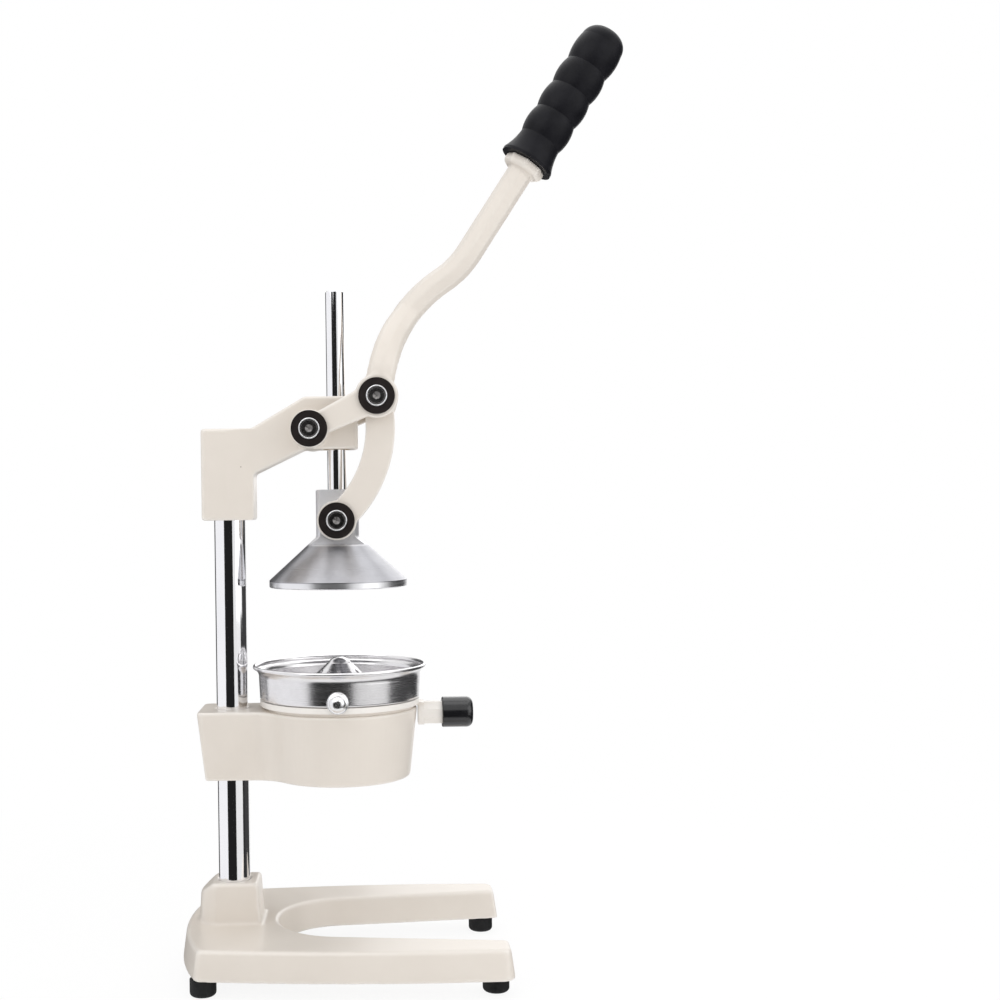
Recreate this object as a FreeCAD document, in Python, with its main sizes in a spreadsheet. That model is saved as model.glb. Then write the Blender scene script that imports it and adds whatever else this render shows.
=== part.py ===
import FreeCAD, Part
import math
import os
from FreeCAD import Placement, Rotation, Vector

# Lever citrus press. The origin is on the table under the press axis.
# +X points to the operator, +Y to the operator's right, +Z up. All lengths are millimetres.

DIMENSIONS = {
    # fits
    "press_fit": 0.02,
    "running_fit": 0.05,
    "side_play": 0.15,
    "drilling_play": 0.25,
    # base casting
    "base_height": 19.5,
    "base_draft": 8.0,
    "base_rear": 104.3,
    "base_rear_corner": 90.5,
    "base_half_width": 77.5,
    "base_shoulder": 70.0,
    "base_corner_radius": 3.5,
    "base_tip": 107.5,
    "base_tip_corner": 5.0,
    "base_edge_radius": 1.8,
    "base_mouth": 112.0,
    "recess_radius": 43.5,
    # column socket on the base
    "socket_height": 27.3,
    "socket_width": 35.0,
    "socket_front": 18.7,
    "socket_back": 24.0,
    "socket_draft": 3.5,
    "socket_bevel": 7.0,
    "socket_floor": 13.5,
    # feet and their screws
    "foot_height": 10.5,
    "foot_diameter": 17.0,
    "foot_edge": 2.5,
    "foot_rear_inset": 16.8,
    "foot_front_inset": 9.0,
    "foot_side_inset": 14.0,
    "foot_screw_diameter": 4.0,
    "foot_screw_head": 7.5,
    "foot_screw_head_height": 2.6,
    "foot_screw_pocket": 3.5,
    "foot_screw_grip": 9.5,
    # column and its bolt
    "column_diameter": 21.3,
    "column_distance": 73.0,
    "column_end_gap": 2.0,
    "column_bolt_diameter": 8.0,
    "column_bolt_hex": 13.0,
    "column_bolt_head": 5.3,
    "column_bolt_grip": 15.0,
    "column_washer": 1.6,
    "column_washer_diameter": 16.0,
    "counterbore_diameter": 22.0,
    "counterbore_depth": 7.3,
    # cup carrier ring
    "carrier_bottom": 126.7,
    "carrier_height": 46.4,
    "carrier_radius": 52.4,
    "carrier_draft": 6.3,
    "carrier_bore_top": 46.5,
    "carrier_bore_bottom": 42.0,
    "carrier_block_back": 22.0,
    "carrier_block_width": 48.0,
    "carrier_blend": 22.0,
    "carrier_corner_radius": 4.0,
    "carrier_edge_radius": 1.2,
    "set_screw_diameter": 8.0,
    "set_screw_length": 9.5,
    "set_screw_socket": 4.0,
    # funnel with its stub handle
    "flange_radius": 53.9,
    "flange_thickness": 3.7,
    "flange_seat": 2.3,
    "flange_seat_radius": 50.5,
    "funnel_wall": 3.0,
    "funnel_depth": 40.0,
    "funnel_spout_radius": 13.0,
    "stub_width": 14.7,
    "stub_drop": 7.1,
    "stub_end": 86.0,
    "cap_diameter": 20.6,
    "cap_length": 21.0,
    "cap_nose": 4.5,
    "cap_lip": 90.3,
    # strainer cup, its stud and the reamer
    "cup_sheet": 1.2,
    "cup_floor_radius": 54.0,
    "cup_wall_radius": 54.6,
    "cup_rim_radius": 58.65,
    "cup_height": 23.3,
    "cup_drain_radius": 30.0,
    "cup_bead": 1.3,
    "stud_diameter": 14.2,
    "stud_dome": 11.0,
    "stud_shank": 4.0,
    "stud_rise": 3.4,
    "reamer_flange": 36.0,
    "reamer_base": 31.0,
    "reamer_height": 26.5,
    "reamer_tip": 8.0,
    "reamer_wall": 2.0,
    "reamer_slots": 12,
    "reamer_slot_width": 3.0,
    # head casting
    "head_drop": 59.8,
    "head_block_rise": 1.7,
    "head_block_back": 17.5,
    "head_block_front": 17.5,
    "head_block_width": 32.0,
    "head_block_roof": 6.0,
    "head_arm_width": 27.0,
    "head_arm_elbow": 27.0,
    "head_web_drop": 29.0,
    "head_boss_radius": 12.5,
    "head_edge_radius": 1.5,
    "guide_drop": 12.8,
    "guide_rise": 22.7,
    "guide_reach": 14.6,
    "bush_radius": 9.0,
    # linkage
    "lever_pivot_back": 17.1,
    "lever_pivot_height": 360.3,
    "crank_radius": 49.3,
    "crank_rest_angle": 25.2,
    "link_length": 86.2,
    "link_bow": 12.5,
    "link_width": 19.5,
    "link_thickness": 7.0,
    "link_inside": 28.0,
    "link_eye_radius": 13.3,
    "pull_angle": 75.0,
    "raise_angle": 5.0,
    "stroke_share": 0.99375,
    "swing_share": 0.69503,
    "slot_slack": 0.3,
    # lever casting
    "cheek_inside": 43.2,
    "cheek_outside": 62.0,
    "lever_boss_a": 12.7,
    "lever_boss_b": 14.5,
    "arm_width_a": 14.8,
    "arm_width_b": 20.0,
    "fork_leg_width": 19.6,
    "fork_roof": 17.0,
    "bar_width": 18.4,
    "bar_rise": 21.0,
    "bar_start_angle": 77.8,
    "bar_first_radius": 95.3,
    "bar_elbow_angle": 33.0,
    "bar_second_radius": 63.3,
    "bar_end_angle": 56.7,
    "bar_run": 67.0,
    "tang_diameter": 12.0,
    "tang_length": 84.0,
    "collar_width": 29.4,
    "collar_thickness": 5.0,
    "collar_bevel": 2.0,
    # grip
    "grip_length": 105.0,
    "grip_flare": 37.5,
    "grip_waist": 29.5,
    "grip_bulge": 33.0,
    "grip_waves": 4,
    # pivots
    "pin_diameter": 11.2,
    "slot_pin_diameter": 6.4,
    "disc_diameter": 24.0,
    "disc_thickness": 2.5,
    "ring_diameter": 14.0,
    "ring_thickness": 1.0,
    "dimple_diameter": 5.0,
    # push rod and press cone
    "rod_diameter": 12.7,
    "rod_rise": 94.7,
    "rod_chamfer": 1.0,
    "rod_grip": 14.0,
    "hub_radius": 14.55,
    "hub_rise": 20.8,
    "hub_flat": 17.3,
    "hub_flat_drop": 16.4,
    "hub_drop": 11.2,
    "press_radius": 46.65,
    "press_drop": 44.8,
    "press_fillet": 3.0,
    "press_band": 4.6,
    "press_wall": 4.6,
}

doc = FreeCAD.newDocument("citrus_press")
sheet = doc.addObject("Spreadsheet::Sheet", "dims")
for row, (alias, value) in enumerate(DIMENSIONS.items(), start=1):
    sheet.set("A%d" % row, alias)
    sheet.set("B%d" % row, str(value))
    sheet.setAlias("B%d" % row, alias)
doc.recompute()


def size(alias):
    return float(sheet.get(alias))


# Places that several pieces share, worked out from the driving dimensions.
BASE_TOP = size("foot_height") + size("base_height")
SOCKET_TOP = BASE_TOP + size("socket_height")
COLUMN_X = -size("column_distance")
COLUMN_BOTTOM = size("foot_height") + size("socket_floor")
PIVOT_A = (-size("lever_pivot_back"), size("lever_pivot_height"))
HEAD_BOTTOM = PIVOT_A[1] - size("head_drop")
HEAD_BLOCK_TOP = PIVOT_A[1] + size("head_block_rise")
GUIDE_BOTTOM = PIVOT_A[1] - size("guide_drop")
GUIDE_TOP = PIVOT_A[1] + size("guide_rise")
COLUMN_TOP = HEAD_BLOCK_TOP - size("head_block_roof") - size("column_end_gap")
CARRIER_TOP = size("carrier_bottom") + size("carrier_height")
FLANGE_BOTTOM = CARRIER_TOP + size("flange_seat")
FLANGE_TOP = FLANGE_BOTTOM + size("flange_thickness")
STUB_Z = FLANGE_BOTTOM - size("stub_drop")
PIN_RADIUS = size("pin_diameter") / 2
ROD_RADIUS = size("rod_diameter") / 2
COLUMN_RADIUS = size("column_diameter") / 2


def crank_end(pull):
    """Place of the link pin in X and Z when the lever is pulled by so many degrees."""
    angle = math.radians(size("crank_rest_angle") - pull)
    crank = size("crank_radius")
    return PIVOT_A[0] + crank * math.cos(angle), PIVOT_A[1] + crank * math.sin(angle)


def link_tilt(pull):
    return math.asin(crank_end(pull)[0] / size("link_length"))


def hub_height(pull):
    """Height of the hub's pin when the link hangs from the crank without slack."""
    return crank_end(pull)[1] - size("link_length") * math.cos(link_tilt(pull))


PIVOT_B = crank_end(0)
LINK_TILT = link_tilt(0)
PIVOT_C = (0.0, hub_height(0))
HUB_TOP = PIVOT_C[1] + size("hub_rise")
FULL_PULL = size("pull_angle")
STROKE = (PIVOT_C[1] - hub_height(FULL_PULL)) * size("stroke_share")
LINK_SWING = (LINK_TILT - link_tilt(FULL_PULL)) * size("swing_share")


def slot_reach():
    """How far the link pin wanders in the link's eye, across and along the link.

    The joints turn and slide in constant ratios, so the eye at B is a slot.
    """
    across = []
    along = []
    for pull in range(-int(size("raise_angle")), int(FULL_PULL) + 1):
        share = pull / FULL_PULL
        tilt = LINK_TILT - LINK_SWING * share
        low = PIVOT_C[1] - STROKE * share
        x, z = crank_end(pull)
        across.append(x * math.cos(tilt) - (z - low) * math.sin(tilt))
        along.append(x * math.sin(tilt) + (z - low) * math.cos(tilt) - size("link_length"))
    return min(across), max(across), max(abs(value) for value in along)


def bind(obj, prop, expression):
    obj.setExpression(prop, expression)


def new_body(label):
    body = doc.addObject("PartDesign::Body", label)
    body.Label = label
    return body


def place(body, position, axis=Vector(0, 0, 1), angle=0.0):
    body.Placement = Placement(Vector(*position), Rotation(axis, angle))


def new_sketch(body, role, offset=(0, 0, 0), expression=None):
    """A sketch on one of the body's own planes, its offset bound when an expression is given."""
    plane = [item for item in body.Origin.OriginFeatures if item.Role == role][0]
    sketch = body.newObject("Sketcher::SketchObject", body.Name + "_sketch")
    sketch.AttachmentSupport = [(plane, "")]
    sketch.MapMode = "FlatFace"
    sketch.AttachmentOffset = Placement(Vector(*offset), Rotation())
    if expression:
        bind(sketch, "AttachmentOffset.Base.z", expression)
    return sketch


def draw(sketch, start, steps):
    """A closed outline. A step is the next point, or a point on an arc and the arc's end."""
    here = Vector(start[0], start[1], 0)
    first = here
    for step in steps:
        if isinstance(step[0], tuple):
            via = Vector(step[0][0], step[0][1], 0)
            there = Vector(step[1][0], step[1][1], 0)
            sketch.addGeometry(Part.Arc(here, via, there))
        else:
            there = Vector(step[0], step[1], 0)
            sketch.addGeometry(Part.LineSegment(here, there))
        here = there
    if here.distanceToPoint(first) > 1e-6:
        sketch.addGeometry(Part.LineSegment(here, first))


def rounded(before, corner, after):
    """Start, middle and end of the arc that rounds a corner by its third number."""
    point, radius = Vector(corner[0], corner[1], 0), corner[2]
    one = (Vector(before[0], before[1], 0) - point).normalize()
    two = (Vector(after[0], after[1], 0) - point).normalize()
    half = one.getAngle(two) / 2
    inward = (one + two).normalize()
    start, end = point + one * (radius / math.tan(half)), point + two * (radius / math.tan(half))
    middle = point + inward * (radius / math.sin(half) - radius)
    return (start.x, start.y), (middle.x, middle.y), (end.x, end.y)


def draw_rounded(sketch, points):
    """A closed outline with straight sides. A point's third number rounds its corner."""
    steps = []
    for index, point in enumerate(points):
        if len(point) == 3:
            start, middle, end = rounded(points[index - 1], point, points[(index + 1) % len(points)])
            steps += [start, (middle, end)]
        else:
            steps.append(point)
    draw(sketch, steps[0], steps[1:])


def draw_circle(sketch, centre, radius):
    sketch.addGeometry(Part.Circle(Vector(centre[0], centre[1], 0), Vector(0, 0, 1), radius))


def draw_polygon(sketch, centre, flats, sides, turn=0.5):
    """A regular polygon by its width across flats."""
    radius = flats / 2 / math.cos(math.pi / sides)
    angles = [2 * math.pi * (index + turn) / sides for index in range(sides)]
    points = [(centre[0] + radius * math.cos(a), centre[1] + radius * math.sin(a)) for a in angles]
    draw(sketch, points[0], points[1:])


def extrude(body, sketch, length, kind="Pad", both=False, back=False, draft=0.0):
    """A pad or pocket. The length is an expression of the sheet."""
    feature = body.newObject("PartDesign::" + kind, body.Name + "_" + kind.lower())
    feature.Profile = sketch
    feature.Length = 1.0
    bind(feature, "Length", length)
    if both:
        feature.SideType = "Symmetric"
    feature.Reversed = back
    feature.TaperAngle = draft
    body.Tip = feature
    return feature


def soften(body, radius, wanted):
    """Round the edges of the body that the test picks. The radius is an expression."""
    last = body.Tip
    doc.recompute()
    names = ["Edge%d" % number for number, edge in enumerate(last.Shape.Edges, start=1) if wanted(edge)]
    fillet = body.newObject("PartDesign::Fillet", body.Name + "_fillet")
    fillet.Base = (last, names)
    bind(fillet, "Radius", radius)
    body.Tip = fillet


def level(*heights):
    """A test for the edges that lie at one of these heights."""
    def wanted(edge):
        spots = [vertex.Z for vertex in edge.Vertexes]
        return any(all(abs(spot - height) < 0.01 for spot in spots) for height in heights)
    return wanted


def turn(body, start, steps, kind="Revolution", shift=(0, 0, 0)):
    """A turned form about the sketch's vertical axis, from an outline in radius and height."""
    sketch = new_sketch(body, "XZ_Plane", shift)
    draw(sketch, start, steps)
    feature = body.newObject("PartDesign::" + kind, body.Name + "_turned")
    feature.Profile = sketch
    feature.ReferenceAxis = (sketch, ["V_Axis"])
    feature.Angle = 360
    body.Tip = feature
    return feature


def cross_bore(body, centre, radius):
    """A round hole right through the body along Y."""
    sketch = new_sketch(body, "XZ_Plane")
    draw_circle(sketch, centre, radius)
    extrude(body, sketch, "dims.cheek_outside * 2", kind="Pocket", both=True)


def cylinder(label, radius, height, position, angle=0.0):
    """A Part cylinder whose radius and height are expressions, standing on its position."""
    piece = doc.addObject("Part::Cylinder", label)
    piece.Label = label
    bind(piece, "Radius", radius)
    bind(piece, "Height", height)
    piece.Placement = Placement(Vector(*position), Rotation(Vector(1, 0, 0), angle))
    return piece


def cut(label, base, tool):
    piece = doc.addObject("Part::Cut", label)
    piece.Label = label
    piece.Base = base
    piece.Tool = tool
    return piece


def group(label, pieces):
    """Separate solids of one kind in one node."""
    piece = doc.addObject("Part::Compound", label)
    piece.Label = label
    piece.Links = pieces
    return piece


def make_base():
    body = new_body("base")
    tip, corner = size("base_tip"), size("base_tip_corner")
    wide, shoulder = size("base_half_width"), size("base_shoulder")
    rear, rear_corner = size("base_rear"), size("base_rear_corner")
    mouth, radius = size("base_mouth") / 2, size("recess_radius")
    bend = math.atan2(mouth, tip) + math.acos(radius / math.hypot(tip, mouth))
    touch = (radius * math.cos(bend), radius * math.sin(bend))
    diagonal = corner * math.sqrt(0.5)
    _, left_middle, left_end = rounded((0, -shoulder), (-rear_corner, -shoulder, size("base_corner_radius")),
                                       (-rear, 0))
    left_start = (size("base_corner_radius") - rear_corner, -shoulder)
    sketch = new_sketch(body, "XY_Plane", (0, 0, BASE_TOP), "dims.foot_height + dims.base_height")
    draw(sketch, (tip, -mouth), [
        (tip, corner - wide),
        ((tip - corner + diagonal, corner - wide - diagonal), (tip - corner, -wide)),
        ((0, -wide), left_start),
        (left_middle, left_end),
        ((-rear, 0), (left_end[0], -left_end[1])),
        ((left_middle[0], -left_middle[1]), (left_start[0], -left_start[1])),
        ((0, wide), (tip - corner, wide)),
        ((tip - corner + diagonal, wide - corner + diagonal), (tip, wide - corner)),
        (tip, mouth),
        touch,
        ((-radius, 0), (touch[0], -touch[1])),
    ])
    extrude(body, sketch, "dims.base_height", back=True, draft=size("base_draft"))
    soften(body, "dims.base_edge_radius", level(BASE_TOP))
    make_socket(body)
    sketch = new_sketch(body, "XY_Plane", (0, 0, size("foot_height")), "dims.foot_height")
    for x, y in foot_places():
        draw_circle(sketch, (x, y), size("foot_screw_diameter") / 2 + size("running_fit"))
    extrude(body, sketch, "dims.foot_screw_grip + 1", kind="Pocket", back=True)


def make_socket(body):
    """The raised socket that holds the column, and the bore for the column and its bolt."""
    half, front, back = size("socket_width") / 2, size("socket_front"), size("socket_back")
    shoulder_x = COLUMN_X - back + half * 0.7
    sketch = new_sketch(body, "XY_Plane", (0, 0, BASE_TOP), "dims.foot_height + dims.base_height")
    draw(sketch, (COLUMN_X + front, -half), [
        (shoulder_x, -half),
        ((COLUMN_X - back, 0), (shoulder_x, half)),
        (COLUMN_X + front, half),
    ])
    extrude(body, sketch, "dims.socket_height", draft=-size("socket_draft"))
    bevel = size("socket_bevel")
    left = COLUMN_X - back - bevel
    sketch = new_sketch(body, "XZ_Plane")
    draw(sketch, (left, SOCKET_TOP - bevel * 2), [
        (left + bevel * 2.8, SOCKET_TOP + bevel * 0.2),
        (left, SOCKET_TOP + bevel * 0.2),
    ])
    extrude(body, sketch, "dims.socket_width * 2", kind="Pocket", both=True)

    def above_base(edge):
        return all(vertex.Z > BASE_TOP + 0.01 for vertex in edge.Vertexes)

    soften(body, "dims.base_edge_radius", above_base)
    bore = COLUMN_RADIUS + size("press_fit")
    bolt_play = size("column_bolt_diameter") / 2 + size("drilling_play")
    counterbore = size("foot_height") + size("counterbore_depth")
    turn(body, (0, size("foot_height") - 1), [
        (size("counterbore_diameter") / 2, size("foot_height") - 1),
        (size("counterbore_diameter") / 2, counterbore),
        (bolt_play, counterbore),
        (bolt_play, COLUMN_BOTTOM),
        (bore, COLUMN_BOTTOM),
        (bore, SOCKET_TOP + 1),
        (0, SOCKET_TOP + 1),
    ], kind="Groove", shift=(COLUMN_X, 0, 0))


def foot_places():
    side = size("base_half_width") - size("foot_side_inset")
    xs = (size("base_tip") - size("foot_front_inset"), size("foot_rear_inset") - size("base_rear"))
    return [(x, y) for x in xs for y in (-side, side)]


def make_feet():
    radius, edge, tall = size("foot_diameter") / 2, size("foot_edge"), size("foot_height")
    pocket, head = size("foot_screw_pocket"), size("foot_screw_head") / 2
    shank = size("foot_screw_diameter") / 2
    names = ("foot_front_left", "foot_front_right", "foot_rear_left", "foot_rear_right")
    bend = edge * (1 - math.sqrt(0.5))
    screws = []
    for name, (x, y) in zip(names, foot_places()):
        foot = new_body(name)
        turn(foot, (head + 0.4, 0), [
            (radius - edge, 0),
            ((radius - bend, bend), (radius, edge)),
            (radius, tall),
            (shank + size("drilling_play"), tall),
            (shank + size("drilling_play"), pocket + 1),
            (head + 0.4, pocket + 1),
        ])
        place(foot, (x, y, 0))
        screw = new_body("foot_screw_%d" % len(screws))
        low = pocket + 1 - size("foot_screw_head_height")
        turn(screw, (0, low + 1.2), [
            (1.4, low + 1.2),
            (1.4, low),
            (head - 0.8, low),
            ((head - 0.2, low + 0.4), (head, low + 1)),
            (head, pocket + 1),
            (shank, pocket + 1),
            (shank, tall + size("foot_screw_grip")),
            (0, tall + size("foot_screw_grip")),
        ])
        place(screw, (x, y, 0))
        screws.append(screw)
    group("foot_screws", screws)


def make_column():
    body = new_body("column")
    bore = size("column_bolt_diameter") / 2 + size("running_fit")
    deep = COLUMN_BOTTOM + size("column_bolt_grip") + 3
    turn(body, (bore, COLUMN_BOTTOM), [
        (COLUMN_RADIUS - 0.8, COLUMN_BOTTOM),
        (COLUMN_RADIUS, COLUMN_BOTTOM + 0.8),
        (COLUMN_RADIUS, COLUMN_TOP - 0.8),
        (COLUMN_RADIUS - 0.8, COLUMN_TOP),
        (0, COLUMN_TOP),
        (0, deep + 2),
        (bore, deep),
    ])
    place(body, (COLUMN_X, 0, 0))
    seat = size("foot_height") + size("counterbore_depth") - size("column_washer")
    hole = cylinder("washer_hole", "dims.column_bolt_diameter / 2 + dims.drilling_play",
                    "dims.column_washer * 3", (COLUMN_X, 0, seat - size("column_washer")))
    disc = cylinder("washer_disc", "dims.column_washer_diameter / 2", "dims.column_washer",
                    (COLUMN_X, 0, seat))
    cut("column_washer", disc, hole)
    bolt = new_body("column_bolt")
    sketch = new_sketch(bolt, "XY_Plane", (0, 0, seat - size("column_bolt_head")))
    draw_polygon(sketch, (0, 0), size("column_bolt_hex"), 6)
    extrude(bolt, sketch, "dims.column_bolt_head")
    sketch = new_sketch(bolt, "XY_Plane", (0, 0, seat))
    draw_circle(sketch, (0, 0), size("column_bolt_diameter") / 2)
    extrude(bolt, sketch, "dims.column_washer + dims.socket_floor - dims.counterbore_depth"
                          " + dims.column_bolt_grip")
    place(bolt, (COLUMN_X, 0, 0))


def make_carrier():
    body = new_body("carrier")
    radius, half = size("carrier_radius"), size("carrier_block_width") / 2
    back = COLUMN_X - size("carrier_block_back")
    blend = size("carrier_blend")
    blend_y = half + blend
    blend_x = -math.sqrt((radius + blend) ** 2 - blend_y ** 2)
    touch = (blend_x * radius / (radius + blend), blend_y * radius / (radius + blend))
    lean = (math.atan2(touch[1] - blend_y, touch[0] - blend_x) - math.pi / 2) / 2
    middle = (blend_x + blend * math.cos(lean), blend_y + blend * math.sin(lean))
    sketch = new_sketch(body, "XY_Plane", (0, 0, CARRIER_TOP),
                        "dims.carrier_bottom + dims.carrier_height")
    start, turned, end = rounded((back, 0), (back, -half, size("carrier_corner_radius")), (0, -half))
    draw(sketch, start, [
        (turned, end),
        (blend_x, -half),
        ((middle[0], -middle[1]), (touch[0], -touch[1])),
        ((radius, 0), touch),
        (middle, (blend_x, half)),
        (end[0], half),
        ((turned[0], -turned[1]), (start[0], -start[1])),
    ])
    extrude(body, sketch, "dims.carrier_height", back=True, draft=-size("carrier_draft"))
    soften(body, "dims.carrier_edge_radius", level(CARRIER_TOP, size("carrier_bottom")))
    turn(body, (0, size("carrier_bottom") - 0.1), [
        (size("carrier_bore_bottom"), size("carrier_bottom") - 0.1),
        (size("carrier_bore_top"), CARRIER_TOP + 0.1),
        (0, CARRIER_TOP + 0.1),
    ], kind="Groove")
    bore = COLUMN_RADIUS + size("press_fit")
    turn(body, (0, size("carrier_bottom") - 1), [
        (bore, size("carrier_bottom") - 1),
        (bore, CARRIER_TOP + 1),
        (0, CARRIER_TOP + 1),
    ], kind="Groove", shift=(COLUMN_X, 0, 0))
    middle_z = size("carrier_bottom") + size("carrier_height") / 2
    screw_bore(body, middle_z, "dims.carrier_block_back + 2")
    make_set_screw("carrier_set_screw", middle_z)


def screw_bore(body, height, depth):
    """A hole from the back of a block to the column, for a set screw."""
    sketch = new_sketch(body, "YZ_Plane", (0, 0, COLUMN_X))
    draw_circle(sketch, (0, height), size("set_screw_diameter") / 2 + size("running_fit"))
    extrude(body, sketch, depth, kind="Pocket")


def make_set_screw(label, height):
    radius, long = size("set_screw_diameter") / 2, size("set_screw_length")
    socket = size("set_screw_socket")
    body = new_body(label)
    sketch = new_sketch(body, "XY_Plane")
    draw_circle(sketch, (0, 0), radius)
    extrude(body, sketch, "dims.set_screw_length")
    sketch = new_sketch(body, "XY_Plane", (0, 0, long), "dims.set_screw_length")
    draw_polygon(sketch, (0, 0), socket, 6)
    extrude(body, sketch, "dims.set_screw_socket", kind="Pocket")
    contact = COLUMN_X - COLUMN_RADIUS
    place(body, (contact, 0, height), Vector(0, 1, 0), -90)


def make_funnel():
    body = new_body("funnel")
    wall, spout = size("funnel_wall"), size("funnel_spout_radius")
    bore_top = size("carrier_bore_top") - size("press_fit") - 0.2
    low = CARRIER_TOP - size("funnel_depth")
    turn(body, (size("flange_radius"), FLANGE_BOTTOM), [
        (size("flange_radius"), FLANGE_TOP),
        (bore_top - wall, FLANGE_TOP),
        (bore_top - wall - 1, CARRIER_TOP - 2),
        (spout - wall, low + 8),
        (spout - wall, low),
        (spout, low),
        (spout, low + 8 - wall),
        (bore_top - 2, CARRIER_TOP - 6),
        (bore_top, CARRIER_TOP),
        (size("flange_seat_radius"), CARRIER_TOP),
        (size("flange_seat_radius"), FLANGE_BOTTOM),
    ])
    half = size("stub_width") / 2
    root = size("carrier_radius") + 0.6
    sketch = new_sketch(body, "XZ_Plane")
    draw(sketch, (size("flange_seat_radius") - 3, FLANGE_BOTTOM - 1.4), [
        (root, FLANGE_BOTTOM - 1.4),
        (root, STUB_Z - half),
        (root + 4, STUB_Z - half),
        (root + 4, STUB_Z + half),
        (size("flange_seat_radius") - 3, FLANGE_TOP - 1),
    ])
    extrude(body, sketch, "dims.stub_width", both=True)
    sketch = new_sketch(body, "YZ_Plane", (0, 0, root))
    draw_polygon(sketch, (0, STUB_Z), size("stub_width"), 8)
    extrude(body, sketch, "dims.stub_end - dims.carrier_radius - 0.6")


def make_handle_cap():
    body = new_body("handle_cap")
    radius, long, nose = size("cap_diameter") / 2, size("cap_length"), size("cap_nose")
    bore = size("stub_width") / 2 / math.cos(math.pi / 8) + size("press_fit")
    start = size("cap_lip") - long
    depth = size("stub_end") - start + 0.3
    bend = nose * (1 - math.sqrt(0.5))
    turn(body, (bore, 0), [
        (radius - 0.6, 0),
        (radius, 0.6),
        (radius, long - nose),
        ((radius - bend, long - bend), (radius - nose, long)),
        (0, long),
        (0, depth),
        (bore, depth),
    ])
    place(body, (start, 0, STUB_Z), Vector(0, 1, 0), 90)


def make_cup():
    body = new_body("strainer_cup")
    sheet_t, bead = size("cup_sheet"), size("cup_bead")
    floor_r, wall_r = size("cup_floor_radius"), size("cup_wall_radius")
    rim = size("cup_rim_radius") - bead
    bottom, top = FLANGE_TOP, FLANGE_TOP + size("cup_height")
    turn(body, (size("cup_drain_radius"), bottom), [
        (floor_r - 2, bottom),
        ((floor_r - 0.6, bottom + 0.6), (floor_r, bottom + 2)),
        (wall_r, top - 8.5),
        ((wall_r + 0.9, top - 4.5), (rim, top - 2 * bead)),
        ((rim + bead, top - bead), (rim, top)),
        ((rim - bead, top - bead), (rim - sheet_t, top - 2.2 * bead)),
        ((wall_r + 0.9 - sheet_t, top - 4.5), (wall_r - sheet_t, top - 8.5)),
        (floor_r - sheet_t, bottom + 2.4),
        ((floor_r - sheet_t - 0.4, bottom + sheet_t + 0.3), (floor_r - sheet_t - 1.4, bottom + sheet_t)),
        (size("cup_drain_radius"), bottom + sheet_t),
    ])
    stud_z = bottom + size("stud_rise")
    sketch = new_sketch(body, "XZ_Plane", (0, 0, size("cup_floor_radius") - 8))
    draw_circle(sketch, (0, stud_z), size("stud_shank") / 2 + size("running_fit"))
    extrude(body, sketch, "dims.cup_rim_radius", kind="Pocket", back=True)
    stud = new_body("cup_stud")
    radius, shank, dome = size("stud_diameter") / 2, size("stud_shank") / 2, size("stud_dome") / 2
    turn(stud, (0, -sheet_t - 1.2), [
        (shank, -sheet_t - 1.2),
        (shank, 0.3),
        (radius - 0.6, 0.3),
        ((radius, 0.9), (radius - 0.6, 1.5)),
        (dome, 2.1),
        (dome, 3.0),
        ((dome * 0.75, 5.6), (dome * 0.2, 6.6)),
        (0, 6.6),
    ])
    place(stud, (0, -floor_r - 0.3, stud_z), Vector(1, 0, 0), 90)


def make_reamer():
    body = new_body("reamer")
    low = FLANGE_TOP + size("cup_sheet")
    wall, flange, base = size("reamer_wall"), size("reamer_flange"), size("reamer_base")
    tip, top = size("reamer_tip"), low + size("reamer_height")
    turn(body, (base - wall, low), [
        (flange, low),
        (flange, low + wall),
        (base, low + wall),
        (tip, top - 4),
        ((tip * 0.6, top - 1), (tip * 0.2, top)),
        (0, top),
        (0, top - wall),
        (tip * 0.2, top - wall),
        (tip - wall, top - 5.2),
    ])
    sketch = new_sketch(body, "XY_Plane", (0, 0, low + wall))
    half = size("reamer_slot_width") / 2
    draw(sketch, (tip + 6, -half), [
        (base - 5, -half),
        ((base - 5 + half, 0), (base - 5, half)),
        (tip + 6, half),
        ((tip + 6 - half, 0), (tip + 6, -half)),
    ])
    slot = extrude(body, sketch, "dims.reamer_height", kind="Pocket", back=True)
    pattern = body.newObject("PartDesign::PolarPattern", "reamer_slots_round")
    pattern.Originals = [slot]
    pattern.Axis = ([item for item in body.Origin.OriginFeatures if item.Role == "Z_Axis"][0], [""])
    pattern.Angle = 360
    pattern.Occurrences = int(size("reamer_slots"))
    body.Tip = pattern


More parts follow.
